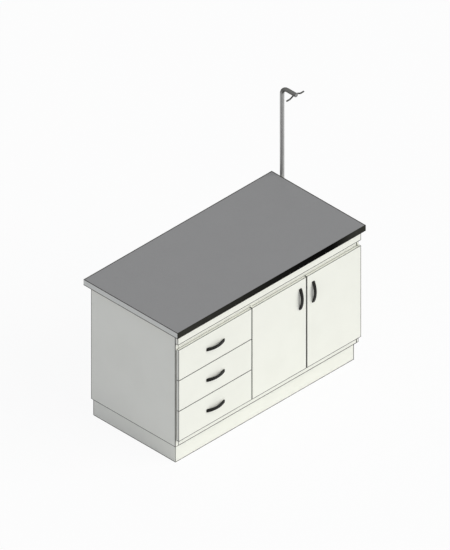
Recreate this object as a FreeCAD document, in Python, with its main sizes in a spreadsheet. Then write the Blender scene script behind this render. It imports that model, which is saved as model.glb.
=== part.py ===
import FreeCAD, Part
import Sketcher
import math
import os
import re

# Cupboard-style veterinary exam table: drawers on the left, a pair of doors on the right,
# a laminate worktop and an IV pole at the rear of the right end.
# Millimetres. X runs right along the front, Y to the back, Z up. The origin is on the floor
# under the middle of the worktop.

Vector = FreeCAD.Vector

SIZES = {
    # Worktop
    "worktop_length": 1524,
    "worktop_depth": 762,
    "worktop_thickness": 41,
    "table_height": 952,
    "laminate_thickness": 1.2,
    "edging_thickness": 2,
    "end_overhang": 20.5,
    "front_overhang": 38,
    "rear_overhang": 40,
    # Cabinet boards
    "board_thickness": 19,
    "left_panel_thickness": 25,
    "back_panel_thickness": 6,
    "stretcher_width": 100,
    "plinth_height": 124,
    "plinth_inset": 19,
    "panel_edge_radius": 1.5,
    # Fronts
    "front_thickness": 18,
    "front_edge_radius": 1.5,
    "front_gap": 3,
    "front_lap": 15,
    "bumper_gap": 3,
    "bumper_radius": 3.5,
    "bottom_reveal": 46,
    "fascia_height": 62,
    "channel_height": 39,
    "drawer_reveal": 6.5,
    "drawer_front_width": 590.5,
    # Shelf
    "shelf_height": 470,
    "shelf_setback": 10,
    "shelf_clearance": 0.8,
    "pin_radius": 2.5,
    "pin_depth": 9,
    "pin_reach": 10,
    "pin_inset": 60,
    # Drawer boxes
    "box_wall": 12,
    "box_height": 150,
    "box_length": 560,
    "box_rise": 22,
    "bottom_thickness": 6,
    "bottom_recess": 10,
    "screw_margin": 30,
    # Telescopic runners
    "runner_length": 550,
    "runner_height": 45,
    "runner_thickness": 12.7,
    "runner_wall": 1.5,
    "runner_clearance": 0.6,
    "runner_setback": 3,
    # Bow pulls
    "pull_length": 145,
    "pull_foot": 11,
    "pull_foot_height": 5,
    "pull_projection": 21,
    "pull_thickness": 7,
    "pull_width": 19,
    "pull_edge_radius": 2,
    "door_pull_inset": 51,
    "door_pull_drop": 128.5,
    # Fasteners and fits
    "fit_clearance": 0.05,
    "bolt_radius": 2,
    "bolt_bite": 5,
    "bolt_head_radius": 4,
    "bolt_head_height": 2.4,
    "screw_radius": 2,
    "screw_bite": 14,
    "screw_head_radius": 4,
    "screw_head_height": 2,
    "worktop_screw_bite": 20,
    "worktop_screw_inset": 80,
    # Door pivots
    "pivot_inset": 8,
    "pivot_depth": 7,
    "pivot_radius": 2.5,
    "pivot_length": 14,
    "pivot_plate": 2.5,
    "pivot_plate_width": 12,
    "pivot_plate_drop": 0.4,
    "pivot_leg_height": 13,
    "pivot_bush_radius": 4,
    "pivot_bush_length": 16,
    # Pole, brackets, bushes and clamp knob
    "pole_radius": 12.7,
    "pole_wall": 1.6,
    "pole_gap": 18,
    "pole_setback": 66,
    "pole_rise": 610,
    "pole_bend_radius": 45,
    "arm_reach": 117,
    "cap_thickness": 2,
    "cap_spigot": 3,
    "hook_setback": 10.5,
    "hook_wire_radius": 4.8,
    "hook_bend_radius": 20,
    "hook_shoulder": 17,
    "hook_slope": 25,
    "hook_drop": 11.5,
    "hook_level": 30,
    "bracket_drop": 30,
    "bracket_spacing": 330,
    "bracket_height": 44,
    "bracket_width": 50,
    "bracket_plate": 4,
    "bracket_floor": 5,
    "bracket_screw_margin": 8,
    "screw_head_room": 1,
    "boss_radius": 20,
    "bush_wall": 2.8,
    "bush_flange": 2.5,
    "bush_flange_radius": 18.5,
    "bush_floor": 3,
    "knob_radius": 16,
    "knob_length": 20,
    "knob_stand_off": 6,
    "knob_flute_radius": 5,
    "knob_flutes": 7,
    "stud_radius": 4,
    "stud_gap": 0.3,
}

doc = FreeCAD.newDocument("exam_table")
sheet = doc.addObject("Spreadsheet::Sheet", "Sizes")
for row, (alias, number) in enumerate(SIZES.items(), start=1):
    sheet.set(f"A{row}", str(number))
    sheet.setAlias(f"A{row}", alias)
doc.recompute()

nodes = []


def from_sheet(formula):
    """The formula with each size name, a word with an underscore, pointed at the sheet."""
    return re.sub(r"[a-z]+(?:_[a-z]+)+", r"Sizes.\g<0>", formula)


def bind(item, name, formula):
    """Tie one property of an object to a formula of the sheet's sizes."""
    item.setExpression(name, from_sheet(formula))


def worth(formula):
    """The number that a formula of the sheet's sizes gives now."""
    return float(sheet.evalExpression(from_sheet(formula)))


def put(item, x, y, z, rotation=FreeCAD.Rotation()):
    """Place an object by three formulas, turned by a fixed rotation."""
    item.Placement = FreeCAD.Placement(Vector(), rotation)
    for axis, formula in zip("xyz", (x, y, z)):
        bind(item, f"Placement.Base.{axis}", formula)


def board(x, y, z, edge=None):
    """A board between (low, high) formulas on each axis, its edges rounded if edge is given."""
    if edge is None:
        item = doc.addObject("Part::Box", "Board")
        slab = item
    else:
        item = doc.addObject("PartDesign::Body", "RoundedBoard")
        slab = item.newObject("PartDesign::AdditiveBox", "Slab")
    for name, (low, high) in zip(("Length", "Width", "Height"), (x, y, z)):
        bind(slab, name, f"({high}) - ({low})")
    put(item, x[0], y[0], z[0])
    if edge is not None:
        doc.recompute()
        rounding = item.newObject("PartDesign::Fillet", "Rounding")
        rounding.Base = (slab, [f"Edge{number + 1}" for number in range(len(slab.Shape.Edges))])
        bind(rounding, "Radius", edge)
    return item


ALONG_AXIS = (
    FreeCAD.Rotation(Vector(0, 1, 0), 90),
    FreeCAD.Rotation(Vector(1, 0, 0), -90),
    FreeCAD.Rotation(),
)


def rod(x, y, z, radius):
    """A round bar along whichever of x, y and z is a (low, high) pair of formulas."""
    bar = doc.addObject("Part::Cylinder", "Rod")
    spans = (x, y, z)
    along = [isinstance(span, tuple) for span in spans].index(True)
    low, high = spans[along]
    bind(bar, "Radius", radius)
    bind(bar, "Height", f"({high}) - ({low})")
    start = [low if isinstance(span, tuple) else span for span in spans]
    put(bar, *start, ALONG_AXIS[along])
    return bar


def group(items):
    """Several separate solids kept as one object."""
    bundle = doc.addObject("Part::Compound", "Group")
    bundle.Links = items
    return bundle


def fuse(items):
    """Several touching solids made into one."""
    joined = doc.addObject("Part::MultiFuse", "Joined")
    joined.Shapes = items
    joined.Refine = True
    return joined


def cut(base, tools):
    """A solid with every tool cut out of it."""
    opened = doc.addObject("Part::Cut", "Opened")
    opened.Base = base
    opened.Tool = tools[0] if len(tools) == 1 else group(tools)
    return opened


def keep(item, label):
    """Name an object as one node of the table."""
    item.Label = label
    nodes.append(item)
    return item


# Planes that the boards share
carcass_left = "(end_overhang - worktop_length / 2)"
carcass_right = "(worktop_length / 2 - end_overhang)"
carcass_front = "(front_overhang - worktop_depth / 2)"
carcass_back = "(worktop_depth / 2 - rear_overhang)"
carcass_top = "(table_height - worktop_thickness)"
inside_left = f"({carcass_left} + left_panel_thickness)"
inside_right = f"({carcass_right} - board_thickness)"
rail_back = f"({carcass_front} + board_thickness)"
back_panel_face = f"({carcass_back} - back_panel_thickness)"
front_back = f"({carcass_front} - bumper_gap)"
front_face = f"({front_back} - front_thickness)"
fronts_bottom = "(plinth_height + bottom_reveal)"
channel_top = f"({carcass_top} - fascia_height)"
fronts_top = f"({channel_top} - channel_height)"
lower_lap = f"({fronts_bottom} + front_lap)"
upper_lap = f"({fronts_top} - front_lap)"
drawers_left = f"({carcass_left} + drawer_reveal)"
drawers_right = f"({drawers_left} + drawer_front_width)"
doors_left = f"({drawers_right} + front_gap)"
door_width = f"(({carcass_right} - {doors_left} - front_gap) / 2)"
partition_left = f"({drawers_right} + front_gap / 2 - board_thickness / 2)"
partition_right = f"({partition_left} + board_thickness)"
across = (inside_left, inside_right)
hole_radius = "(bolt_radius + fit_clearance)"
screw_hole_radius = "(screw_radius + fit_clearance)"

# Shelf pins, and the holes that they stand in
shelf_front = f"({rail_back} + shelf_setback)"
pin_level = "shelf_height - pin_radius"
pin_rows = (f"{shelf_front} + pin_inset", f"{back_panel_face} - pin_inset")
pin_spans = {
    "partition": (f"{partition_right} - pin_depth", f"{partition_right} + pin_reach"),
    "panel": (f"{inside_right} - pin_reach", f"{inside_right} + pin_depth"),
}
pin_holes = {
    side: [rod(span, row, pin_level, "pin_radius + fit_clearance") for row in pin_rows]
    for side, span in pin_spans.items()
}
keep(group([rod(span, row, pin_level, "pin_radius") for span in pin_spans.values() for row in pin_rows]),
     "shelf_pins")

# Pole brackets on the outside of the right end panel, with the screws that hold them
pole_x = "(worktop_length / 2 + pole_gap)"
pole_y = "(worktop_depth / 2 - pole_setback)"
bush_radius = "(pole_radius + bush_wall)"
upper_bracket_low = f"({carcass_top} - bracket_drop - bracket_height)"
lower_bracket_low = f"({upper_bracket_low} - bracket_spacing)"
upper_bracket_top = f"({upper_bracket_low} + bracket_height)"
lower_bracket_top = f"({lower_bracket_low} + bracket_height)"
clamp_level = f"({upper_bracket_low} + bracket_height / 2)"
plate_face = f"({carcass_right} + bracket_plate)"

bracket_screws = []
bracket_screw_holes = []
for low, top in ((lower_bracket_low, lower_bracket_top), (upper_bracket_low, upper_bracket_top)):
    for level in (f"{low} + bracket_screw_margin", f"{top} - bracket_screw_margin"):
        for side in ("-", "+"):
            y = f"{pole_y} {side} (bracket_width / 2 - bracket_screw_margin)"
            shank = (f"{carcass_right} - screw_bite", plate_face)
            head = (plate_face, f"{plate_face} + screw_head_height")
            bracket_screws.append(fuse([rod(shank, y, level, "screw_radius"),
                                        rod(head, y, level, "screw_head_radius")]))
            bracket_screw_holes.append(rod(shank, y, level, screw_hole_radius))


def pole_bracket(low, top, bore_low):
    """Wall plate, arm and boss made as one casting, bored for its bush from bore_low upwards."""
    plate = board((carcass_right, plate_face),
                  (f"{pole_y} - bracket_width / 2", f"{pole_y} + bracket_width / 2"), (low, top))
    arm_half = "(bracket_width / 2 - bracket_screw_margin - screw_head_radius - screw_head_room)"
    arm = board((plate_face, pole_x), (f"{pole_y} - {arm_half}", f"{pole_y} + {arm_half}"), (low, top))
    boss = rod(pole_x, pole_y, (low, top), "boss_radius")
    bore = rod(pole_x, pole_y, (bore_low, top), f"{bush_radius} + fit_clearance")
    return cut(fuse([plate, arm, boss]), [bore, *bracket_screw_holes])


stud_hole = rod((pole_x, f"{pole_x} + boss_radius"), pole_y, clamp_level, "stud_radius + fit_clearance")
keep(pole_bracket(lower_bracket_low, lower_bracket_top, f"{lower_bracket_low} + bracket_floor"),
     "lower_pole_bracket")
keep(cut(pole_bracket(upper_bracket_low, upper_bracket_top, upper_bracket_low), [stud_hole]),
     "upper_pole_bracket")
keep(group(bracket_screws), "bracket_screws")

# Carcass
side_depth = (carcass_front, carcass_back)
side_height = ("plinth_height", carcass_top)
keep(board((carcass_left, inside_left), side_depth, side_height, "panel_edge_radius"), "left_end_panel")
keep(board(across, (rail_back, back_panel_face), ("plinth_height", "plinth_height + board_thickness")),
     "bottom_panel")
keep(board(across, (back_panel_face, carcass_back), side_height), "back_panel")

partition_main = board((partition_left, partition_right), (rail_back, back_panel_face),
                       ("plinth_height + board_thickness", f"{carcass_top} - board_thickness"))
partition_nose = board((partition_left, partition_right), (carcass_front, rail_back), (lower_lap, upper_lap))
keep(cut(fuse([partition_main, partition_nose]), pin_holes["partition"]), "partition")

keep(board((f"{partition_right} + shelf_clearance", f"{inside_right} - shelf_clearance"),
           (shelf_front, f"{back_panel_face} - shelf_clearance"),
           ("shelf_height", "shelf_height + board_thickness")), "shelf")

keep(board((carcass_left, carcass_right), (front_face, carcass_front), (channel_top, carcass_top),
           "front_edge_radius"), "fascia_rail")

# Plinth: four boards and a cross brace, set back from the cabinet on three sides
plinth_left = f"({carcass_left} + plinth_inset)"
plinth_right = f"({carcass_right} - plinth_inset)"
plinth_front = f"({carcass_front} + plinth_inset)"
plinth_between = (f"{plinth_front} + board_thickness", f"{carcass_back} - board_thickness")
plinth_rise = ("0", "plinth_height")
keep(board((plinth_left, plinth_right), (plinth_front, plinth_between[0]), plinth_rise), "plinth_front")
keep(board((plinth_left, plinth_right), (plinth_between[1], carcass_back), plinth_rise), "plinth_rear")
keep(group([board((plinth_left, f"{plinth_left} + board_thickness"), plinth_between, plinth_rise),
            board((f"{plinth_right} - board_thickness", plinth_right), plinth_between, plinth_rise)]),
     "plinth_ends")
keep(board(("-board_thickness / 2", "board_thickness / 2"), plinth_between, plinth_rise), "plinth_brace")

# Worktop, and the screws that hold it from below through the two stretchers
core_x = ("edging_thickness - worktop_length / 2", "worktop_length / 2 - edging_thickness")
core_y = ("edging_thickness - worktop_depth / 2", "worktop_depth / 2 - edging_thickness")
core_top = "(table_height - laminate_thickness)"
edging_z = (carcass_top, "table_height")
stretcher_low = f"({carcass_top} - board_thickness)"
stretcher_depths = (
    (rail_back, f"{rail_back} + stretcher_width"),
    (f"{back_panel_face} - stretcher_width", back_panel_face),
)

worktop_screws = []
worktop_screw_holes = []
for low, high in stretcher_depths:
    for x in (f"{inside_left} + worktop_screw_inset", "0", f"{inside_right} - worktop_screw_inset"):
        y = f"({low} + {high}) / 2"
        shank = (stretcher_low, f"{carcass_top} + worktop_screw_bite")
        head = (f"{stretcher_low} - screw_head_height", stretcher_low)
        worktop_screws.append(fuse([rod(x, y, shank, "screw_radius"), rod(x, y, head, "screw_head_radius")]))
        worktop_screw_holes.append(rod(x, y, shank, screw_hole_radius))

keep(group(worktop_screws), "worktop_screws")
keep(group([cut(board(across, depth, (stretcher_low, carcass_top)), worktop_screw_holes)
            for depth in stretcher_depths]), "top_stretchers")
keep(cut(board(core_x, core_y, (carcass_top, core_top)), worktop_screw_holes), "worktop_core")
keep(board(core_x, core_y, (core_top, "table_height")), "worktop_laminate")
keep(board(("-worktop_length / 2", "worktop_length / 2"), ("-worktop_depth / 2", core_y[0]), edging_z),
     "worktop_front_edging")
keep(group([board(("-worktop_length / 2", core_x[0]), (core_y[0], "worktop_depth / 2"), edging_z),
            board((core_x[1], "worktop_length / 2"), (core_y[0], "worktop_depth / 2"), edging_z),
            board(core_x, (core_y[1], "worktop_depth / 2"), edging_z)]), "worktop_light_edgings")


def plane(body, role):
    """One of the base planes of a body's own origin."""
    return next(item for item in body.Origin.OriginFeatures if item.Role == role)


def flat_sketch(body, role):
    """An empty sketch on one of the body's base planes."""
    sketch = body.newObject("Sketcher::SketchObject", "Outline")
    sketch.AttachmentSupport = [(plane(body, role), "")]
    sketch.MapMode = "FlatFace"
    return sketch


def dimension(sketch, name, formula, *where):
    """A named dimension of a sketch, tied to the sheet. where gives its kind and what it measures."""
    index = sketch.addConstraint(Sketcher.Constraint(*where, worth(formula)))
    sketch.renameConstraint(index, name)
    bind(sketch, f"Constraints.{name}", formula)


ACROSS_FRONT = FreeCAD.Rotation(Vector(1, 0, 0), Vector(0, -1, 0), Vector(0, 0, -1), "XYZ")
UP_FRONT = FreeCAD.Rotation(Vector(0, 0, 1), Vector(0, -1, 0), Vector(1, 0, 0), "XYZ")
# How the sketcher numbers a curve's own points and the sketch's two axes
START, END, CENTRE = range(1, 4)
FLAT_AXIS, UPRIGHT_AXIS = range(-1, -3, -1)


def bow_pull(x, z, upright, bolt_holes):
    """An arched strap pull on the front face, centred at x and z, tapped for its two bolts."""
    body = doc.addObject("PartDesign::Body", "Pull")
    side = flat_sketch(body, "XY_Plane")
    half = worth("pull_length / 2")
    inner_half = worth("pull_length / 2 - pull_foot")
    heel = worth("pull_foot_height")
    crown = worth("pull_projection")
    inner_crown = worth("pull_projection - pull_thickness")
    outer, inner, right_end, right_foot, left_foot, left_end = range(6)
    side.addGeometry([
        Part.Arc(Vector(half, heel), Vector(0, crown), Vector(-half, heel)),
        Part.Arc(Vector(inner_half, 0), Vector(0, inner_crown), Vector(-inner_half, 0)),
        Part.LineSegment(Vector(half, heel), Vector(half, 0)),
        Part.LineSegment(Vector(half, 0), Vector(inner_half, 0)),
        Part.LineSegment(Vector(-inner_half, 0), Vector(-half, 0)),
        Part.LineSegment(Vector(-half, 0), Vector(-half, heel)),
    ])
    corners = ((outer, START, right_end, START), (right_end, END, right_foot, START),
               (right_foot, END, inner, START), (inner, END, left_foot, START),
               (left_foot, END, left_end, START), (left_end, END, outer, END))
    side.addConstraint([Sketcher.Constraint("Coincident", *corner) for corner in corners])
    side.addConstraint([
        Sketcher.Constraint("Vertical", right_end),
        Sketcher.Constraint("Vertical", left_end),
        Sketcher.Constraint("Horizontal", right_foot),
        Sketcher.Constraint("Horizontal", left_foot),
        Sketcher.Constraint("PointOnObject", right_foot, START, FLAT_AXIS),
        Sketcher.Constraint("PointOnObject", left_foot, START, FLAT_AXIS),
        Sketcher.Constraint("PointOnObject", outer, CENTRE, UPRIGHT_AXIS),
        Sketcher.Constraint("PointOnObject", inner, CENTRE, UPRIGHT_AXIS),
        Sketcher.Constraint("Equal", right_end, left_end),
    ])
    arch = "(pull_projection - pull_foot_height)"
    hollow = "(pull_projection - pull_thickness)"
    hollow_half = "(pull_length / 2 - pull_foot)"
    dimension(side, "overall", "pull_length", "DistanceX", left_foot, END, right_foot, START)
    dimension(side, "foot", "pull_foot", "DistanceX", right_foot, END, right_foot, START)
    dimension(side, "heel", "pull_foot_height", "DistanceY", right_end, END, right_end, START)
    dimension(side, "outside", f"((pull_length / 2) ^ 2 + {arch} ^ 2) / (2 * {arch})", "Radius", outer)
    dimension(side, "inside", f"({hollow_half} ^ 2 + {hollow} ^ 2) / (2 * {hollow})", "Radius", inner)
    strap = body.newObject("PartDesign::Pad", "Strap")
    strap.Profile = side
    bind(strap, "Length", "pull_width")
    doc.recompute()
    outside_radius = side.getDatum("outside").Value
    rounding = body.newObject("PartDesign::Fillet", "Rounding")
    rounding.Base = (strap, [
        f"Edge{number}" for number, edge in enumerate(strap.Shape.Edges, start=1)
        if isinstance(edge.Curve, Part.Circle) and abs(edge.Curve.Radius - outside_radius) < 1e-6
    ])
    bind(rounding, "Radius", "pull_edge_radius")
    if upright:
        put(body, f"{x} - pull_width / 2", front_face, z, UP_FRONT)
    else:
        put(body, x, front_face, f"{z} + pull_width / 2", ACROSS_FRONT)
    return cut(body, bolt_holes)


bolt_spread = "((pull_length - pull_foot) / 2)"


def pull_bolts(x, z, upright, inner_face):
    """The places of a pull's two bolts, as (bolts, holes), with their heads on inner_face."""
    bolts = []
    holes = []
    for side in ("-", "+"):
        bolt_x = x if upright else f"({x} {side} {bolt_spread})"
        bolt_z = f"({z} {side} {bolt_spread})" if upright else z
        shank = (f"{front_face} - bolt_bite", inner_face)
        head = (inner_face, f"{inner_face} + bolt_head_height")
        bolts.append(fuse([rod(bolt_x, shank, bolt_z, "bolt_radius"),
                           rod(bolt_x, head, bolt_z, "bolt_head_radius")]))
        holes.append(rod(bolt_x, shank, bolt_z, hole_radius))
    return bolts, holes


def channel(face, sign, depth, height, y, level):
    """A folded runner member: web on the plane face, lips reaching away from it along sign."""
    low_wall = f"{level} - {height} / 2"
    high_wall = f"{level} + {height} / 2"
    if sign > 0:
        outside = (face, f"{face} + {depth}")
        hollow = (f"{face} + runner_wall", f"{face} + {depth}")
    else:
        outside = (f"{face} - {depth}", face)
        hollow = (f"{face} - {depth}", f"{face} - runner_wall")
    return cut(board(outside, y, (low_wall, high_wall)),
               [board(hollow, y, (f"{low_wall} + runner_wall", f"{high_wall} - runner_wall"))])


# Drawers, from the lowest up
drawer_front_height = f"(({fronts_top} - {fronts_bottom} - 2 * front_gap) / 3)"
drawers_middle = f"(({drawers_left} + {drawers_right}) / 2)"
box_left = f"({inside_left} + runner_thickness)"
box_right = f"({partition_left} - runner_thickness)"
box_back = f"({front_back} + box_length)"
wall_face = f"({front_back} + box_wall)"
middle_height = "(runner_height - 2 * runner_wall - 2 * runner_clearance)"
inner_height = f"({middle_height} - 2 * runner_wall - 2 * runner_clearance)"
outer_depth = "(runner_thickness - runner_wall - 2 * runner_clearance)"
middle_inset = "(runner_wall + runner_clearance)"
inner_depth = f"(runner_thickness - 2 * {middle_inset})"
runner_y = (f"{carcass_front} + runner_setback", f"{carcass_front} + runner_setback + runner_length")

cabinet_runners = []
for index, place in enumerate(("bottom", "middle", "top")):
    low = f"({fronts_bottom} + {index} * ({drawer_front_height} + front_gap))"
    centre = f"({low} + {drawer_front_height} / 2)"
    box_low = f"({low} + box_rise)"
    box_top = f"({box_low} + box_height)"
    runner_level = f"({box_low} + box_height / 2)"

    bolts, bolt_holes = pull_bolts(drawers_middle, centre, False, wall_face)
    screws = []
    screw_holes = []
    for x in (f"{box_left} + box_wall + screw_margin", f"{box_right} - box_wall - screw_margin"):
        for z in (f"{box_low} + screw_margin", f"{box_top} - screw_margin"):
            shank = (f"{front_back} - screw_bite", wall_face)
            head = (wall_face, f"{wall_face} + screw_head_height")
            screws.append(fuse([rod(x, shank, z, "screw_radius"), rod(x, head, z, "screw_head_radius")]))
            screw_holes.append(rod(x, shank, z, screw_hole_radius))
    keep(group(bolts + screws), f"{place}_drawer_fixings")
    keep(bow_pull(drawers_middle, centre, False, bolt_holes), f"{place}_drawer_pull")

    face = board((drawers_left, drawers_right), (front_face, front_back),
                 (low, f"{low} + {drawer_front_height}"), "front_edge_radius")
    keep(cut(face, bolt_holes + screw_holes), f"{place}_drawer_front")

    wall_z = (box_low, box_top)
    between_walls = (f"{box_left} + box_wall", f"{box_right} - box_wall")
    front_wall = board(between_walls, (front_back, wall_face), wall_z)
    keep(group([
        board((box_left, between_walls[0]), (front_back, box_back), wall_z),
        board((between_walls[1], box_right), (front_back, box_back), wall_z),
        cut(front_wall, bolt_holes + screw_holes),
        board(between_walls, (f"{box_back} - box_wall", box_back), wall_z),
    ]), f"{place}_drawer_box")
    keep(board(between_walls, (wall_face, f"{box_back} - box_wall"),
               (f"{box_low} + bottom_recess", f"{box_low} + bottom_recess + bottom_thickness")),
         f"{place}_drawer_bottom")

    middle_runners = []
    drawer_runners = []
    for panel, box_side, sign in ((inside_left, box_left, 1), (partition_left, box_right, -1)):
        toward = "+" if sign > 0 else "-"
        cabinet_runners.append(channel(panel, sign, outer_depth, "runner_height", runner_y, runner_level))
        middle_face = f"({panel} {toward} {middle_inset})"
        middle_runners.append(channel(middle_face, sign, outer_depth, middle_height, runner_y, runner_level))
        drawer_runners.append(channel(box_side, -sign, f"({inner_depth} - runner_clearance)", inner_height,
                                      runner_y, runner_level))
    keep(group(middle_runners), f"{place}_middle_runners")
    keep(group(drawer_runners), f"{place}_drawer_runners")
keep(group(cabinet_runners), "cabinet_runners")

# Doors on pivot pins: each pin stands in a plate on a front rail and turns in a bush in the door
pivot_y = f"({front_face} + pivot_depth)"
plate_front = f"({pivot_y} - pivot_plate_width / 4)"
leg_face = f"({carcass_front} - pivot_plate)"
door_pull_level = f"({fronts_top} - door_pull_drop)"
pivots = []
pivot_screw_holes = []
meeting_right = f"({doors_left} + {door_width})"
door_layout = (
    ("left", doors_left, meeting_right, f"({doors_left} + pivot_inset)",
     f"({meeting_right} - door_pull_inset)"),
    ("right", f"({meeting_right} + front_gap)", carcass_right, f"({carcass_right} - pivot_inset)",
     f"({meeting_right} + front_gap + door_pull_inset)"),
)
for place, left, right, pivot_x, pull_x in door_layout:
    plate_x = (f"{pivot_x} - pivot_plate_width / 2", f"{pivot_x} + pivot_plate_width / 2")
    bolts, bolt_holes = pull_bolts(pull_x, door_pull_level, True, front_back)
    keep(group(bolts), f"{place}_door_bolts")
    keep(bow_pull(pull_x, door_pull_level, True, bolt_holes), f"{place}_door_pull")

    bush_spans = (
        (fronts_bottom, f"{fronts_bottom} + pivot_bush_length"),
        (f"{fronts_top} - pivot_bush_length", fronts_top),
    )
    bores = [rod(pivot_x, pivot_y, span, "pivot_radius + fit_clearance") for span in bush_spans]
    seats = [rod(pivot_x, pivot_y, span, "pivot_bush_radius + fit_clearance") for span in bush_spans]
    sleeves = [rod(pivot_x, pivot_y, span, "pivot_bush_radius") for span in bush_spans]
    keep(group([cut(sleeve, [bore]) for sleeve, bore in zip(sleeves, bores)]), f"{place}_door_bushes")
    leaf = board((left, right), (front_face, front_back), (fronts_bottom, fronts_top), "front_edge_radius")
    keep(cut(leaf, seats + bolt_holes), f"{place}_door")

    for edge, outward, inward in ((fronts_bottom, "-", "+"), (fronts_top, "+", "-")):
        near = f"({edge} {outward} pivot_plate_drop)"
        far = f"({near} {outward} pivot_plate)"
        leg_end = f"({near} {outward} pivot_leg_height)"
        pin_end = f"({near} {inward} pivot_length)"
        rising = outward == "+"
        plate = board(plate_x, (plate_front, carcass_front), (near, far) if rising else (far, near))
        leg = board(plate_x, (leg_face, carcass_front), (near, leg_end) if rising else (leg_end, near))
        pin = rod(pivot_x, pivot_y, (pin_end, near) if rising else (near, pin_end), "pivot_radius")
        screw_z = f"({near} {outward} (pivot_plate + pivot_leg_height) / 2)"
        shank = (leg_face, f"{carcass_front} + screw_bite")
        head = (f"{leg_face} - screw_head_height", leg_face)
        screw_hole = rod(pivot_x, shank, screw_z, screw_hole_radius)
        pivots.append(cut(fuse([plate, leg, pin]), [screw_hole]))
        pivots.append(fuse([rod(pivot_x, shank, screw_z, "screw_radius"),
                            rod(pivot_x, head, screw_z, "screw_head_radius")]))
        pivot_screw_holes.append(screw_hole)
keep(group(pivots), "door_pivots")

# Front rails: the lower one closes the front under the doors, the upper one backs the finger channel.
# The left door's pivots are screwed to them, the right door's to the front edge of the end panel.
rail_depth = (carcass_front, rail_back)
keep(cut(board(across, rail_depth, ("plinth_height", lower_lap)), pivot_screw_holes), "bottom_front_rail")
keep(cut(board(across, rail_depth, (upper_lap, carcass_top)), pivot_screw_holes), "top_front_rail")
right_panel = board((inside_right, carcass_right), side_depth, side_height, "panel_edge_radius")
keep(cut(right_panel, pin_holes["panel"] + bracket_screw_holes + pivot_screw_holes), "right_end_panel")

# Rubber bumpers that the closed doors and drawer fronts rest on
bumper_y = (front_back, carcass_front)
lap_levels = (f"{fronts_bottom} + front_lap / 2", f"{fronts_top} - front_lap / 2")
bumpers = []
for x in (f"{meeting_right} - door_pull_inset", f"{meeting_right} + front_gap + door_pull_inset"):
    bumpers += [rod(x, bumper_y, level, "bumper_radius") for level in lap_levels]
for index in range(3):
    level = f"{fronts_bottom} + {index} * ({drawer_front_height} + front_gap) + {drawer_front_height} / 2"
    bumpers.append(rod(f"({drawers_left} + {inside_left}) / 2", bumper_y, level, "bumper_radius"))
    bumpers.append(rod(f"({partition_left} + {drawers_right}) / 2", bumper_y, level, "bumper_radius"))
keep(group(bumpers), "bumpers")

# Flanged bushes that turn in the bracket bosses. The lower one has a floor that the pole stands on.
lower_bush_low = f"({lower_bracket_low} + bracket_floor)"
pole_low = f"({lower_bush_low} + bush_floor)"
bushes = []
for low, top, bore_low in ((lower_bush_low, lower_bracket_top, pole_low),
                           (upper_bracket_low, upper_bracket_top, upper_bracket_low)):
    flange_top = f"({top} + bush_flange)"
    sleeve = rod(pole_x, pole_y, (low, flange_top), bush_radius)
    flange = rod(pole_x, pole_y, (top, flange_top), "bush_flange_radius")
    bore = rod(pole_x, pole_y, (bore_low, flange_top), "pole_radius + fit_clearance")
    bushes.append(cut(fuse([sleeve, flange]), [bore]))
keep(group(bushes), "pole_bushes")

# IV pole: one bent tube, closed by a plug at each end, with a wire hook through its arm
arm_level = "(table_height + pole_rise)"
arm_end = f"({pole_y} - arm_reach)"
tube_low = f"({pole_low} + cap_thickness)"
hook_y = f"({arm_end} + hook_setback)"
tube_bore = "(pole_radius - pole_wall)"
spigot_radius = f"({tube_bore} - fit_clearance)"

pole = doc.addObject("PartDesign::Body", "Pole")
spine = flat_sketch(pole, "YZ_Plane")
bend = worth("pole_bend_radius")
rise = worth(f"{arm_level} - {tube_low}")
reach = worth("arm_reach - cap_thickness")
upright, elbow, arm = range(3)
spine.addGeometry([
    Part.LineSegment(Vector(0, 0), Vector(0, rise - bend)),
    Part.ArcOfCircle(Part.Circle(Vector(-bend, rise - bend), Vector(0, 0, 1), bend), 0, math.pi / 2),
    Part.LineSegment(Vector(-bend, rise), Vector(-reach, rise)),
])
spine.addConstraint([
    Sketcher.Constraint("Coincident", upright, START, FLAT_AXIS, START),
    Sketcher.Constraint("Vertical", upright),
    Sketcher.Constraint("Tangent", upright, END, elbow, START),
    Sketcher.Constraint("Tangent", elbow, END, arm, START),
    Sketcher.Constraint("Horizontal", arm),
])
dimension(spine, "bend", "pole_bend_radius", "Radius", elbow)
dimension(spine, "rise", f"{arm_level} - {tube_low}", "DistanceY", FLAT_AXIS, START, arm, END)
dimension(spine, "reach", "arm_reach - cap_thickness", "DistanceX", arm, END, FLAT_AXIS, START)
ring = flat_sketch(pole, "XY_Plane")
ring.addGeometry([
    Part.Circle(Vector(0, 0), Vector(0, 0, 1), worth("pole_radius")),
    Part.Circle(Vector(0, 0), Vector(0, 0, 1), worth(tube_bore)),
])
for circle, name, formula in ((0, "outside", "pole_radius"), (1, "inside", tube_bore)):
    ring.addConstraint(Sketcher.Constraint("Coincident", circle, CENTRE, FLAT_AXIS, START))
    dimension(ring, name, formula, "Radius", circle)
tube = pole.newObject("PartDesign::AdditivePipe", "Tube")
tube.Profile = ring
tube.Spine = (spine, ["Edge1", "Edge2", "Edge3"])
put(pole, pole_x, pole_y, tube_low)
hook_span = (f"{pole_x} - 2 * pole_radius", f"{pole_x} + 2 * pole_radius")
keep(cut(pole, [rod(hook_span, hook_y, arm_level, "hook_wire_radius + fit_clearance")]), "pole_tube")

foot_plug = fuse([
    rod(pole_x, pole_y, (pole_low, tube_low), "pole_radius"),
    rod(pole_x, pole_y, (tube_low, f"{tube_low} + cap_spigot"), spigot_radius),
])
arm_cap_back = f"({arm_end} + cap_thickness)"
arm_plug = fuse([
    rod(pole_x, (arm_end, arm_cap_back), arm_level, "pole_radius"),
    rod(pole_x, (arm_cap_back, f"{arm_cap_back} + cap_spigot"), arm_level, spigot_radius),
])
keep(group([foot_plug, arm_plug]), "pole_caps")


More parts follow.
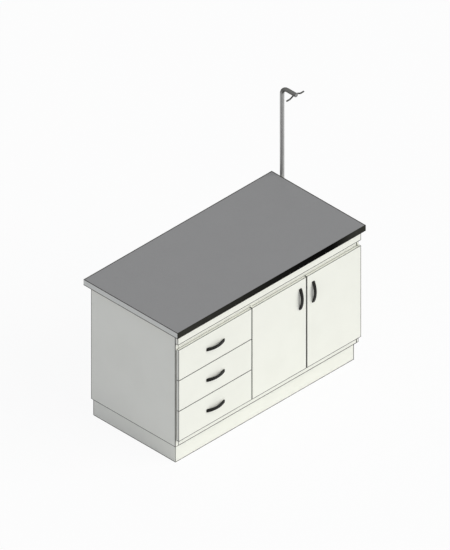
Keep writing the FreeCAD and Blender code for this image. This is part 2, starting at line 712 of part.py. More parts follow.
def bent_wire(points, radius):
    """Straight runs through the points in order, joined by tangent arcs of one radius."""
    edges = []
    start = points[0]
    for before, corner, after in zip(points, points[1:], points[2:]):
        inward = (before - corner).normalize()
        outward = (after - corner).normalize()
        half_angle = inward.getAngle(outward) / 2
        middle = (inward + outward).normalize()
        trim = radius / math.tan(half_angle)
        crown = corner + middle * (radius / math.sin(half_angle) - radius)
        arc_start = corner + inward * trim
        arc_end = corner + outward * trim
        edges.append(Part.LineSegment(start, arc_start).toShape())
        edges.append(Part.Arc(arc_start, crown, arc_end).toShape())
        start = arc_end
    edges.append(Part.LineSegment(start, points[-1]).toShape())
    return Part.Wire(edges)


# Double hook: one wire whose two prongs slope down from the arm and end in level tips
prong = [
    (worth("hook_shoulder"), 0),
    (worth("hook_shoulder + hook_slope"), -worth("hook_drop")),
    (worth("hook_shoulder + hook_slope + hook_level"), -worth("hook_drop")),
]
hook_points = [Vector(-out, 0, up) for out, up in reversed(prong)] + [Vector(out, 0, up) for out, up in prong]
hook_path = bent_wire(hook_points, worth("hook_bend_radius"))
tip_run = (hook_points[1] - hook_points[0]).normalize()
wire_end = Part.Wire([Part.makeCircle(worth("hook_wire_radius"), hook_points[0], tip_run)])
hook = doc.addObject("Part::Feature", "Hook")
hook.Shape = hook_path.makePipeShell([wire_end], True, False)
put(hook, pole_x, hook_y, arm_level)
keep(hook, "pole_hook")

# Clamp knob: a fluted head on a stud that bears on the upper bush through the side of the boss
knob_seat = f"({pole_x} + boss_radius + knob_stand_off)"
stud_length = f"(boss_radius + knob_stand_off - {bush_radius} - stud_gap)"
knob = doc.addObject("PartDesign::Body", "Knob")
knob_head = knob.newObject("PartDesign::AdditiveCylinder", "Head")
bind(knob_head, "Radius", "knob_radius")
bind(knob_head, "Height", "knob_length")
flute = knob.newObject("PartDesign::SubtractiveCylinder", "Flute")
bind(flute, "Radius", "knob_flute_radius")
bind(flute, "Height", "knob_length")
bind(flute, "Placement.Base.x", "knob_radius + knob_flute_radius / 2")
doc.recompute()
flutes = knob.newObject("PartDesign::PolarPattern", "Flutes")
flutes.Originals = [flute]
flutes.Axis = (plane(knob, "Z_Axis"), [""])
flutes.Angle = 360
bind(flutes, "Occurrences", "knob_flutes")
knob.Tip = flutes
doc.recompute()
stud = knob.newObject("PartDesign::AdditiveCylinder", "Stud")
bind(stud, "Radius", "stud_radius")
bind(stud, "Height", stud_length)
bind(stud, "Placement.Base.z", f"-{stud_length}")
put(knob, knob_seat, pole_y, clamp_level, ALONG_AXIS[0])
keep(knob, "clamp_knob")

doc.recompute()
for item in doc.Objects:
    if "Invalid" in item.State or "Error" in item.State:
        raise RuntimeError(f"{item.Name} ({item.Label}) failed: {item.State}")
for item in nodes:
    if item.Shape.isNull() or not item.Shape.isValid():
        raise RuntimeError(f"{item.Label} has no valid shape")

os.makedirs("parts", exist_ok=True)
for item in nodes:
    item.Shape.exportStep(f"parts/{item.Label}.step")
print(len(nodes), "nodes,", sum(len(item.Shape.Solids) for item in nodes), "solids")
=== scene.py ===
import math

import bpy
import numpy as np
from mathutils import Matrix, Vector


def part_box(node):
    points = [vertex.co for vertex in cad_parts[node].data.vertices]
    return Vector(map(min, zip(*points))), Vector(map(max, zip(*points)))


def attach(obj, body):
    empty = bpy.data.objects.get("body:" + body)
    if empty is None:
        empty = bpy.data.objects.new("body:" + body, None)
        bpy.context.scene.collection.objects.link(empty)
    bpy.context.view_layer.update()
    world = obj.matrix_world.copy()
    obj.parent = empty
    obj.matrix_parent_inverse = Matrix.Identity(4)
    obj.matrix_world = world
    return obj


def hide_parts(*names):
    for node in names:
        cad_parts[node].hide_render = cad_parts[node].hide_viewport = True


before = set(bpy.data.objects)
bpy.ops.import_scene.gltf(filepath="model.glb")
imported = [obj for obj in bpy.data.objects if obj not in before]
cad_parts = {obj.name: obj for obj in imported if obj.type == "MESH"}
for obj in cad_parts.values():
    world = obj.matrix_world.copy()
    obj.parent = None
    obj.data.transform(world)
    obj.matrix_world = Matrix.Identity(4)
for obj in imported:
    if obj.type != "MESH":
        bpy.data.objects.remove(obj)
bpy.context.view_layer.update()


# Plinth. Four cream melamine boards and a cross brace, glued and screwed into a low box that
# stands on the floor, set back under the cabinet. Dark lines of painted shade run along its arrises,
# and mops and shoes mark its foot.
class Wire:
    """One output socket in a finish. Arithmetic on it adds Math nodes to the same finish."""

    def __init__(self, socket):
        self.socket = socket
        self.tree = socket.id_data

    def node(self, kind, settings=None, inputs=None, output=0):
        """Add a node: its settings first, then a value or a link for each input. Gives one output."""
        made = self.tree.nodes.new(kind)
        for name, value in (settings or {}).items():
            if name == "stops":
                stops = made.color_ramp.elements
                while len(stops) < len(value):
                    stops.new(1.0)
                for stop, (position, colour) in zip(stops, value):
                    stop.position = position
                    stop.color = (*colour, 1.0)
            else:
                setattr(made, name, value)
        for name, value in (inputs or {}).items():
            if isinstance(value, Wire):
                self.tree.links.new(value.socket, made.inputs[name])
            else:
                made.inputs[name].default_value = value
        return Wire(made.outputs[output]) if made.outputs else None

    def math(self, operation, *operands):
        """One Math node on the operands, in order."""
        return self.node("ShaderNodeMath", {"operation": operation}, dict(enumerate(operands)))

    def __add__(self, other):
        return self.math("ADD", self, other)

    def __sub__(self, other):
        return self.math("SUBTRACT", self, other)

    def __rsub__(self, other):
        return self.math("SUBTRACT", other, self)

    def __mul__(self, other):
        return self.math("MULTIPLY", self, other)

    def __truediv__(self, other):
        return self.math("DIVIDE", self, other)

    def __abs__(self):
        return self.math("ABSOLUTE", self)

    __radd__ = __add__


def start_finish(name, plain):
    """A new finish with one Principled shader, and plain values set on the shader's own sockets.

    Gives the finish and the surface's place in the part's own frame, in metres."""
    finish = bpy.data.materials.new(name)
    finish.use_nodes = True
    shader = finish.node_tree.nodes["Principled BSDF"]
    for socket, value in plain.items():
        shader.inputs[socket].default_value = value
    return finish, Wire(finish.node_tree.nodes.new("ShaderNodeTexCoord").outputs["Object"])


def feed(finish, varying):
    """Link what changes over the surface to the named sockets of the finish's shader."""
    shader = finish.node_tree.nodes["Principled BSDF"]
    for socket, wire in varying.items():
        finish.node_tree.links.new(wire.socket, shader.inputs[socket])
    return finish


def coordinates(place):
    """The three coordinates of a place, each on its own wire."""
    return [place.node("ShaderNodeSeparateXYZ", None, {0: place}, axis) for axis in range(3)]


def mottle(place, per_metre, detail=2.0, stretch=(1.0, 1.0, 1.0)):
    """Soft noise from 0 to 1 with about this many blots in a metre. A small stretch value draws them out."""
    drawn = place.node("ShaderNodeMapping", None, {"Vector": place, "Scale": stretch})
    return place.node("ShaderNodeTexNoise", None, {"Vector": drawn, "Scale": per_metre, "Detail": detail})


def ease(wire, low, high):
    """0 below low, 1 above high and a smooth rise between them."""
    return wire.node("ShaderNodeMapRange", {"interpolation_type": "SMOOTHSTEP"},
                     {"Value": wire, "From Min": low, "From Max": high})


def tint(share, under, over):
    """The under colour where share is 0, the over colour where it is 1."""
    ends = [end if isinstance(end, Wire) else (*end, 1.0) for end in (under, over)]
    return share.node("ShaderNodeMix", {"data_type": "RGBA"}, {0: share, 6: ends[0], 7: ends[1]}, 2)


def relief(height, depth, strength=1.0):
    """The surface's normal over a relief whose height from 0 to 1 stands for this depth in metres."""
    return height.node("ShaderNodeBump", None, {"Height": height, "Distance": depth, "Strength": strength})


def dress(finish, *nodes):
    """Give CAD nodes this finish in place of their plain one."""
    for node in nodes:
        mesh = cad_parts[node].data
        mesh.materials.clear()
        mesh.materials.append(finish)


CREAM = (0.865, 0.873, 0.803)
CREAM_CLOUD = (0.842, 0.850, 0.780)
# Painted shade: the colour and the widths of the dark lines drawn along board arrises and gaps.
SHADE_LINE_COLOUR = (0.030, 0.029, 0.026)
THIN_SHADE_LINE = 0.0022
WIDE_SHADE_LINE = 0.0052
LINE_FULL, LINE_GONE = 0.8, 1.1
LINE_SINK = 0.8
MELAMINE_ROUGHNESS = 0.40


def melamine(name, *nodes, low_reach=(THIN_SHADE_LINE, THIN_SHADE_LINE, THIN_SHADE_LINE), high_reach=(THIN_SHADE_LINE, THIN_SHADE_LINE, THIN_SHADE_LINE)):
    """Satin cream melamine: a faint cloudiness, a pressed orange-peel skin and uneven wiping marks.

    Where nodes are given, dark lines of painted shade are drawn along the arrises of the box round them, for
    the shade in gaps and at edges, and the skin sinks there. A place is in that line where two of its
    distances to the box's sides are within those sides' reach, given for the low and the high side along each
    axis."""
    finish, place = start_finish(name, {"Specular IOR Level": 0.35})
    wiped = mottle(place, 14.0, 3.0, (1.0, 1.0, 0.35))
    colour = tint(ease(mottle(place, 5.0, 4.0), 0.35, 0.75), CREAM, CREAM_CLOUD)
    skin = mottle(place, 950.0, 1.0)
    if nodes:
        lows, highs = zip(*map(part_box, nodes))
        x, y, z = [place.math("MINIMUM", (along - min(low[axis] for low in lows)) / low_reach[axis],
                              (max(high[axis] for high in highs) - along) / high_reach[axis])
                   for axis, along in enumerate(coordinates(place))]
        farther = place.math("MINIMUM", place.math("MAXIMUM", x, y), z)
        from_arris = place.math("MAXIMUM", place.math("MINIMUM", x, y), farther)
        # Painted shade: the dark line along the arrises.
        shade_line = 1.0 - ease(from_arris, LINE_FULL, LINE_GONE)
        colour = tint(shade_line, colour, SHADE_LINE_COLOUR)
        skin = skin - shade_line * LINE_SINK
    return finish, place, {
        "Base Color": colour,
        "Roughness": MELAMINE_ROUGHNESS + wiped * 0.12,
        "Normal": relief(skin, 0.00006, 0.6),
    }


SCUFF_HEIGHT = 0.035
SCUFF = (0.62, 0.61, 0.56)
SCUFF_SHARE = 0.5
ALONG_X, ALONG_Y, ALONG_Z = range(3)
PLINTH_BOARDS = ("plinth_front", "plinth_rear", "plinth_ends", "plinth_brace")
finish, place, sockets = melamine("plinth_melamine", *PLINTH_BOARDS, low_reach=(THIN_SHADE_LINE, THIN_SHADE_LINE, WIDE_SHADE_LINE),
                                  high_reach=(WIDE_SHADE_LINE, WIDE_SHADE_LINE, THIN_SHADE_LINE))
near_floor = 1.0 - ease(coordinates(place)[ALONG_Z], 0.0, SCUFF_HEIGHT)
scuffed = near_floor * ease(mottle(place, 60.0, 5.0), 0.45, 0.8) * SCUFF_SHARE
sockets["Base Color"] = tint(scuffed, sockets["Base Color"], SCUFF)
dress(feed(finish, sockets), *PLINTH_BOARDS)


# Carcass. End panels, floor, partition, rails, stretchers and back are cream melamine board with
# matching strips on the edges that show, dowelled and glued together. Dark lines of painted shade run
# along the outer arrises of the end panels, the bottom front rail and the back.
SIDE_LINES = {"left_end_panel": THIN_SHADE_LINE, "right_end_panel": WIDE_SHADE_LINE,
              "bottom_front_rail": THIN_SHADE_LINE, "back_panel": THIN_SHADE_LINE}
for node, side_line in SIDE_LINES.items():
    finish, place, sockets = melamine(f"{node}_melamine", node, low_reach=(side_line, WIDE_SHADE_LINE, WIDE_SHADE_LINE),
                                      high_reach=(side_line, WIDE_SHADE_LINE, THIN_SHADE_LINE))
    dress(feed(finish, sockets), node)
carcass_finish, place, sockets = melamine("carcass_melamine")
dress(feed(carcass_finish, sockets), "bottom_panel", "partition", "top_front_rail", "top_stretchers")


# Shelf. One loose melamine board with an edge strip along its front, laid on four steel pins that
# are pushed into holes in the partition and the end panel.
# Painted shade: dark lines run along the shelf's arrises.
finish, place, sockets = melamine("shelf_melamine", "shelf")
dress(feed(finish, sockets), "shelf")

ZINC = (0.63, 0.635, 0.645)
ZINC_DULL = (0.52, 0.525, 0.54)


def zinc(name, stretch):
    """Bright zinc plate on drawn steel: fine streaks along the metal, and clouds where it has gone dull."""
    finish, place = start_finish(name, {"Metallic": 1.0})
    streak = mottle(place, 1600.0, 2.0, stretch)
    cloud = ease(mottle(place, 35.0, 4.0), 0.3, 0.75)
    return feed(finish, {
        "Base Color": tint(cloud, ZINC, ZINC_DULL),
        "Roughness": 0.24 + streak * 0.12 + cloud * 0.08,
        "Normal": relief(streak, 0.00002, 0.5),
    })


screw_zinc = zinc("screw_zinc", (1.0, 1.0, 1.0))
dress(screw_zinc, "shelf_pins")


# Runners. Three nested steel channels on each side of a drawer, rolled from strip and zinc plated,
# so their streaks run front to back. One is screwed to the cabinet, one to the drawer.
runner_zinc = zinc("runner_zinc", (1.0, 0.012, 1.0))
dress(runner_zinc, "cabinet_runners")
for place_name in ("bottom", "middle", "top"):
    dress(runner_zinc, f"{place_name}_middle_runners", f"{place_name}_drawer_runners")


# Drawer boxes. Birch plywood walls with their edges left bare under clear lacquer, so the layers show
# along the top, and a thin plywood bottom let in between the walls.
BIRCH = (0.72, 0.56, 0.36)
BIRCH_GRAIN = (0.58, 0.42, 0.25)
BIRCH_EDGE = (0.40, 0.26, 0.14)
WALL = 0.012
PLIES = 9.0
LAYER = WALL / PLIES
JUST_INSIDE = 0.998
for place_name in ("bottom", "middle", "top"):
    low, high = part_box(f"{place_name}_drawer_box")
    middle, half = (low + high) / 2.0, (high - low) / 2.0
    finish, place = start_finish(f"{place_name}_box_birch", {"Coat Weight": 0.25, "Coat Roughness": 0.25})
    x, y = coordinates(place)[:2]
    from_side = half.x - abs(x - middle.x)
    from_end = half.y - abs(y - middle.y)
    is_end = from_side.math("GREATER_THAN", from_side, WALL)
    depth = from_side + (from_end - from_side) * is_end
    layer = depth.math("FLOOR", depth * JUST_INSIDE / LAYER)
    crossed = layer.math("FRACT", layer * 0.5) * 2.0
    side_grain = mottle(place, 90.0, 5.0, (1.0, 0.05, 1.0))
    end_grain = mottle(place, 90.0, 5.0, (0.05, 1.0, 1.0))
    grain = side_grain + (end_grain - side_grain) * is_end
    wood = tint(ease(grain, 0.35, 0.7), BIRCH, BIRCH_GRAIN)
    dress(feed(finish, {
        "Base Color": tint(crossed, wood, BIRCH_EDGE),
        "Roughness": 0.42 + grain * 0.12,
        "Normal": relief(grain, 0.00015, 0.5),
    }), f"{place_name}_drawer_box")
bottom_birch, place = start_finish("drawer_bottom_birch", {"Coat Weight": 0.2, "Coat Roughness": 0.3})
grain = mottle(place, 70.0, 5.0, (0.04, 1.0, 1.0))
dress(feed(bottom_birch, {
    "Base Color": tint(ease(grain, 0.3, 0.72), BIRCH, BIRCH_GRAIN),
    "Roughness": 0.45 + grain * 0.12,
    "Normal": relief(grain, 0.00015, 0.5),
}), "bottom_drawer_bottom", "middle_drawer_bottom", "top_drawer_bottom")


# Drawer fronts, doors and fascia. Cream melamine board with dark lines of painted shade along its arrises and
# gaps.
# Each drawer front is screwed to its box from inside, the doors hang on pivots and the fascia is
# glued to the rail behind it.
# Widths of the painted shade lines at level, inner and meeting edges.
LEVEL_LINE = 0.0016
INNER_LINE = 0.0030
MEETING_LINE = 0.0046
FRONTS = {
    "bottom_drawer_front": (THIN_SHADE_LINE, INNER_LINE, WIDE_SHADE_LINE),
    "middle_drawer_front": (THIN_SHADE_LINE, INNER_LINE, LEVEL_LINE),
    "top_drawer_front": (THIN_SHADE_LINE, INNER_LINE, LEVEL_LINE),
    "left_door": (INNER_LINE, MEETING_LINE, WIDE_SHADE_LINE),
    "right_door": (MEETING_LINE, WIDE_SHADE_LINE, WIDE_SHADE_LINE),
    "fascia_rail": (THIN_SHADE_LINE, WIDE_SHADE_LINE, WIDE_SHADE_LINE),
}
for node, (left_line, right_line, lower_line) in FRONTS.items():
    finish, place, sockets = melamine(f"{node}_melamine", node, low_reach=(left_line, INNER_LINE, lower_line),
                                      high_reach=(right_line, THIN_SHADE_LINE, LEVEL_LINE))
    dress(feed(finish, sockets), node)


# Bow pulls. Cast metal straps that arch out from two feet, stove-enamelled near black. Hands polish
# the crown of the bow, and two bolts from inside hold each one.
def shell(name, sheets, finish, looped=False):
    """One smooth mesh of closed tubes, each an array of points over stations and round its rings.

    Next rings join by four-sided faces. The end rings are closed by one face each, or to each other where
    the tube is looped. A ring runs the other way round where the volume would come out negative."""
    points, faces = [], []
    for sheet in sheets:
        offset = sheet - sheet.mean(axis=(0, 1))
        beside, beyond = np.roll(offset, -1, axis=1), np.roll(offset, -1, axis=0)
        last = len(sheet) if looped else -1
        if np.sum(offset[:last] * np.cross(beside[:last], beyond[:last])) < 0.0:
            sheet = sheet[:, ::-1]
        index = sum(map(len, points)) + np.arange(sheet[..., 0].size).reshape(sheet.shape[:2])
        here, there = (index, np.roll(index, -1, axis=0)) if looped else (index[:-1], index[1:])
        quads = np.stack([here, np.roll(here, -1, axis=1), np.roll(there, -1, axis=1), there], axis=-1)
        faces += quads.reshape(-1, 4).tolist()
        if not looped:
            faces += [index[0, ::-1].tolist(), index[-1].tolist()]
        points.append(sheet.reshape(-1, 3))
    mesh = bpy.data.meshes.new(name)
    mesh.from_pydata(np.concatenate(points).tolist(), [], faces)
    mesh.polygons.foreach_set("use_smooth", np.ones(len(faces), dtype=bool))
    mesh.set_sharp_from_angle(angle=math.radians(40.0))
    mesh.materials.append(finish)
    piece = bpy.data.objects.new(name, mesh)
    bpy.context.scene.collection.objects.link(piece)
    return piece


def fit(piece, body, slot, *nodes):
    """Put a piece on the body it moves with and hide the nodes it stands for. The slot is not used."""
    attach(piece, body)
    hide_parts(*nodes)


def arch(half, foot, crown, share):
    """Points (along, out) of the round arc from foot at both ends of its chord to crown at the middle.

    The angle from the middle goes with share, from -1 to 1."""
    rise = crown - foot
    radius = (half ** 2 + rise ** 2) / (2.0 * rise)
    angle = share * math.asin(half / radius)
    return np.stack([radius * np.sin(angle), crown - radius + radius * np.cos(angle)], axis=-1)


def squircle(steps, power):
    """A rounded square, from -1 to 1 both ways: the points where |a|^power + |b|^power is 1."""
    angle = np.arange(steps) * 2.0 * math.pi / steps
    return [np.sign(wave) * np.abs(wave) ** (2.0 / power) for wave in (np.cos(angle), np.sin(angle))]


PULL_FOOT = 0.011
PULL_HEEL = 0.005
PULL_THICKNESS = 0.007


def bow(node):
    """The strap of one pull. Its section is a rounded rectangle between an outer and an inner arch.

    The section's middle is halfway between the arches, and it closes on a flat foot at each end."""
    low, high = (np.array(corner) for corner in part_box(node))
    size, middle = high - low, (low + high) / 2.0
    run, side = (2, 0) if size[2] > size[0] else (0, 2)
    half, out = size[run] / 2.0, size[1]
    share = np.linspace(-1.0, 1.0, 57)
    outer = arch(half, PULL_HEEL, out, share)
    inner = arch(half - PULL_FOOT, 0.0, out - PULL_THICKNESS, share)
    outer = np.concatenate([[[-half, 0.0]], outer, [[half, 0.0]]])
    inner = np.concatenate([[[PULL_FOOT - half, 0.0]], inner, [[half - PULL_FOOT, 0.0]]])
    through, across = squircle(48, 10.0)
    section = ((outer + inner)[:, None] + (outer - inner)[:, None] * through[None, :, None]) / 2.0
    points = np.empty((*section.shape[:2], 3))
    points[..., run] = middle[run] + section[..., 0]
    points[..., 1] = high[1] - section[..., 1]
    points[..., side] = middle[side] + size[side] / 2.0 * across
    return points


ENAMEL = (0.0075, 0.0075, 0.0060)
ENAMEL_WORN = (0.0130, 0.0125, 0.0105)
WORN_FROM, WORN_FULL = 0.374, 0.386
enamel, place = start_finish("black_enamel", {"Specular IOR Level": 0.14})
forward = 0.0 - coordinates(place)[ALONG_Y]
handled = ease(forward, WORN_FROM, WORN_FULL) * ease(mottle(place, 90.0, 4.0), 0.35, 0.7)
skin = mottle(place, 1300.0, 2.0)
feed(enamel, {
    "Base Color": tint(handled, ENAMEL, ENAMEL_WORN),
    "Roughness": 0.46 - handled * 0.14,
    "Normal": relief(skin, 0.00005, 0.6),
})
PULL_BODIES = {"bottom_drawer": "bottom_drawer", "middle_drawer": "middle_drawer", "top_drawer": "top_drawer",
               "left_door": "left_door_leaf", "right_door": "right_door_leaf"}
for front, body in PULL_BODIES.items():
    piece = shell(f"{front}_bow", [bow(f"{front}_pull")], enamel)
    fit(piece, body, "black_pull", f"{front}_pull")


# Bolts and screws. Zinc-plated steel with pan heads and a pressed cross recess. They hold the pulls and
# the drawer fronts from inside, the worktop from below and the pole brackets to the end panel.
def spin(radius, height, centre, axis):
    """Points round an axis through centre: radius away from it and height along it at each step."""
    axis = np.array(axis, dtype=float)
    first = np.roll(np.abs(axis), 1)
    steps = np.broadcast(radius, height).shape[1]
    angle = np.arange(steps) * 2.0 * math.pi / steps
    around = np.cos(angle)[:, None] * first + np.sin(angle)[:, None] * np.cross(axis, first)
    return np.array(centre) + radius[..., None] * around + height[..., None] * axis


HEAD_RADIUS = 0.004
HEAD_FALL = 0.55
SHANK_RADIUS = 0.002
TIP_RADIUS = 0.0008
TIP_LENGTH = 0.001
RECESS_HALF = 0.00055
RECESS_REACH = 0.0023
RECESS_DEPTH = 0.0013
RECESS_FLANK = 0.0003
RECESS_END = 0.0005


def pan_head(seat, axis, height, shank):
    """One screw: a domed head over its seat, a step in to the shank and a blunt tip.

    The head's height falls with the fourth power of the radius. The recess is two crossing slots, each as
    deep as the smaller of its two distances inside the slot allows."""
    steps = 40
    over = np.concatenate([np.linspace(0.0002, 0.0030, 15), np.linspace(0.0033, HEAD_RADIUS, 4)])
    radius = np.concatenate([over, [HEAD_RADIUS, SHANK_RADIUS, SHANK_RADIUS, TIP_RADIUS]])[:, None]
    dome = height * (1.0 - HEAD_FALL * (over / HEAD_RADIUS) ** 4)
    level = np.concatenate([dome, [0.0, 0.0, TIP_LENGTH - shank, -shank]])[:, None]
    angle = np.arange(steps) * 2.0 * math.pi / steps
    x, y = np.abs(radius * np.cos(angle)), np.abs(radius * np.sin(angle))
    slots = [np.clip((RECESS_HALF - a) / RECESS_FLANK, 0.0, 1.0)
             * np.clip((RECESS_REACH - b) / RECESS_END, 0.0, 1.0) for a, b in ((x, y), (y, x))]
    on_top = (np.arange(len(radius)) < len(over))[:, None]
    return spin(radius, level - RECESS_DEPTH * np.maximum(*slots) * on_top, seat, axis)


INWARD, OUTWARD_RIGHT, DOWN = (0.0, 1.0, 0.0), (1.0, 0.0, 0.0), (0.0, 0.0, -1.0)
BOLT_HEAD = 0.0024
SCREW_HEAD = 0.0020
SCREW_SHORTER = 0.009
BRACKET_MARGIN = 0.008
for front, body in PULL_BODIES.items():
    low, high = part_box(f"{front}_pull")
    fixings = f"{front}_fixings" if front.endswith("drawer") else f"{front}_bolts"
    fixings_low, fixings_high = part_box(fixings)
    middle, foot = (low + high) / 2.0, PULL_FOOT / 2.0
    seat_y = fixings_high.y - BOLT_HEAD
    shank = seat_y - fixings_low.y
    if front.endswith("drawer"):
        bolts = [(x, seat_y, middle.z) for x in (low.x + foot, high.x - foot)]
        screws = [(x, seat_y, z) for x in (fixings_low.x + HEAD_RADIUS, fixings_high.x - HEAD_RADIUS)
                  for z in (fixings_low.z + HEAD_RADIUS, fixings_high.z - HEAD_RADIUS)]
    else:
        bolts = [(middle.x, seat_y, z) for z in (low.z + foot, high.z - foot)]
        screws = []
    heads = [pan_head(seat, INWARD, BOLT_HEAD, shank) for seat in bolts]
    heads += [pan_head(seat, INWARD, SCREW_HEAD, shank - SCREW_SHORTER) for seat in screws]
    fit(shell(f"{front}_screw_heads", heads, screw_zinc), body, "zinc_steel", fixings)

low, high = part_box("bracket_screws")
plate_face = high.x - SCREW_HEAD
levels = [level for bracket in ("lower_pole_bracket", "upper_pole_bracket")
          for level in (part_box(bracket)[0].z + BRACKET_MARGIN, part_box(bracket)[1].z - BRACKET_MARGIN)]
heads = [pan_head((plate_face, y, z), OUTWARD_RIGHT, SCREW_HEAD, plate_face - low.x)
         for y in (low.y + HEAD_RADIUS, high.y - HEAD_RADIUS) for z in levels]
fit(shell("bracket_screw_heads", heads, screw_zinc), "cabinet", "zinc_steel", "bracket_screws")

low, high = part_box("worktop_screws")
seat_z = low.z + SCREW_HEAD
heads = [pan_head((x, y, seat_z), DOWN, SCREW_HEAD, high.z - seat_z)
         for x in (low.x + HEAD_RADIUS, 0.0, high.x - HEAD_RADIUS)
         for y in (low.y + HEAD_RADIUS, high.y - HEAD_RADIUS)]
fit(shell("worktop_screw_heads", heads, screw_zinc), "cabinet", "zinc_steel", "worktop_screws")


# Door pivots, bushes and bumpers. Bent steel plates powder coated to match the boards carry the doors'
# pins, nylon sleeves line the holes in the doors, and soft rubber studs stop the closing fronts.
powder, place, sockets = melamine("pivot_powder")
dress(feed(powder, sockets), "door_pivots")

NYLON = (0.83, 0.82, 0.77)
NYLON_HAZE = (0.76, 0.75, 0.69)
nylon, place = start_finish("natural_nylon", {"Roughness": 0.45, "Subsurface Weight": 0.1})
haze = mottle(place, 300.0, 3.0)
feed(nylon, {"Base Color": tint(haze, NYLON, NYLON_HAZE),
             "Normal": relief(haze, 0.00008, 0.4)})
dress(nylon, "left_door_bushes", "right_door_bushes")

RUBBER = (0.62, 0.62, 0.59)
RUBBER_BLOOM = (0.52, 0.52, 0.50)
rubber, place = start_finish("stop_rubber", {"Roughness": 0.75, "Specular IOR Level": 0.2})
bloom = mottle(place, 700.0, 3.0)
feed(rubber, {"Base Color": tint(bloom, RUBBER, RUBBER_BLOOM),
              "Normal": relief(bloom, 0.00006, 0.5)})
low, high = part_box("bumpers")
stud_radius = 0.0035
stud_height = high.y - low.y
partition_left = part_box("partition")[0].x
studs = [(sum(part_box(f"{door}_pull"), Vector()).x / 2.0, z) for door in ("left_door", "right_door")
         for z in (low.z + stud_radius, high.z - stud_radius)]
for place_name in ("bottom", "middle", "top"):
    face_low, face_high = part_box(f"{place_name}_drawer_front")
    level = (face_low.z + face_high.z) / 2.0
    studs += [(low.x + stud_radius, level), ((partition_left + face_high.x) / 2.0, level)]
turn = np.linspace(0.0, 0.9 * math.pi / 2.0, 9)
stud_profile_radius = np.concatenate([[stud_radius], stud_radius * (0.45 + 0.55 * np.cos(turn)), [0.0004]])
stud_profile_height = np.concatenate([[0.0], stud_height * (0.3 + 0.7 * np.sin(turn) / np.sin(turn[-1])),
                                      [stud_height]])
stud_rings = np.broadcast_to(stud_profile_radius[:, None], (len(stud_profile_radius), 28))
stud_levels = np.broadcast_to(stud_profile_height[:, None], stud_rings.shape)
domes = [spin(stud_rings, stud_levels, (x, high.y, z), (0.0, -1.0, 0.0)) for x, z in studs]
fit(shell("stop_studs", domes, rubber), "cabinet", "rubber", "bumpers")


# Worktop. A particle-board core under one sheet of mid-grey laminate, whose dark core shows at its trimmed
# and filed borders. A black strip is glued along the front and light ones along the ends and the back, all
# with rounded outer arrises. The black strip is coloured lighter towards its ends as a painted reflection.
GREY_DARK = (0.268, 0.268, 0.266)
GREY_LIGHT = (0.325, 0.325, 0.322)
DARK_CORE_AND_SHADE = (0.040, 0.038, 0.034)
TRIMMED = 0.0020
FILED = 0.0056
BORDER_FULL, BORDER_GONE = 0.8, 1.2
laminate, place = start_finish("worktop_grey", {"Specular IOR Level": 0.3})
fleck = ease(mottle(place, 420.0, 3.0), 0.38, 0.62)
cloud = mottle(place, 7.0, 5.0)
scratch = ease(mottle(place, 160.0, 2.0, (0.03, 1.0, 1.0)), 0.66, 0.72)
sheet_low, sheet_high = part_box("worktop_laminate")
x, y = coordinates(place)[:2]
near_border = place.math("MINIMUM", (x - sheet_low.x) / TRIMMED, (sheet_high.x - x) / FILED)
near_border = place.math("MINIMUM", near_border, (y - sheet_low.y) / TRIMMED)
near_border = place.math("MINIMUM", near_border, (sheet_high.y - y) / FILED)
border = 1.0 - ease(near_border, BORDER_FULL, BORDER_GONE)
feed(laminate, {
    "Base Color": tint(border, tint(fleck * 0.55 + cloud * 0.45, GREY_DARK, GREY_LIGHT), DARK_CORE_AND_SHADE),
    "Roughness": 0.50 + cloud * 0.14 - scratch * 0.10,
    "Normal": relief(mottle(place, 1100.0, 2.0), 0.00008, 0.7),
})
dress(laminate, "worktop_laminate")

chipboard, place = start_finish("raw_chipboard", {"Roughness": 0.9, "Specular IOR Level": 0.1})
chips = mottle(place, 260.0, 4.0, (1.0, 1.0, 2.2))
feed(chipboard, {
    "Base Color": chips.node("ShaderNodeValToRGB", {"stops": [
        (0.30, (0.20, 0.12, 0.06)), (0.50, (0.46, 0.33, 0.19)), (0.72, (0.62, 0.48, 0.30))]}, {"Fac": chips}),
    "Normal": relief(chips, 0.0006),
})
dress(chipboard, "worktop_core")


def carry(profile, path, fixed):
    """A profile carried along a path that lies in the plane square to fixed.

    Each profile point goes its first number along the path's direction crossed with fixed, and its second
    along fixed itself."""
    fixed = np.array(fixed, dtype=float)
    direction = np.gradient(path, axis=0)
    direction /= np.linalg.norm(direction, axis=1, keepdims=True)
    outward = np.cross(direction, fixed)
    return path[:, None] + profile[None, :, :1] * outward[:, None] + profile[None, :, 1:] * fixed


STRIP = 0.002
ARRIS = 0.0015
top_low, top_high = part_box("worktop_light_edgings")
front_low, front_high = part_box("worktop_front_edging")
quarter = np.linspace(0.0, math.pi / 2.0, 7)
rounded = ARRIS * np.stack([np.cos(quarter) - 1.0, np.sin(quarter) - 1.0], axis=-1)
strip_profile = np.concatenate([
    [[0.0, top_low.z]], (rounded * (1.0, -1.0))[::-1] + (STRIP, top_low.z), rounded + (STRIP, top_high.z),
    [[0.0, top_high.z]]])
UP = (0.0, 0.0, 1.0)


def strip(start, end):
    """One straight length of edging from start to end over the floor, its outer side on the right."""
    return carry(strip_profile, np.linspace((*start, 0.0), (*end, 0.0), 2), UP)


STRIP_BLACK = (0.0008, 0.0008, 0.0006)
STRIP_PAINTED_SHEEN = (0.034, 0.034, 0.029)
SHEEN_FROM_LEFT = (-0.95, 0.42)
SHEEN_TO_RIGHT = (0.48, 0.70)
black_strip, place = start_finish("black_edging_strip", {"Specular IOR Level": 0.01})
drag = mottle(place, 900.0, 2.0, (0.02, 1.0, 1.0))
along = coordinates(place)[ALONG_X]
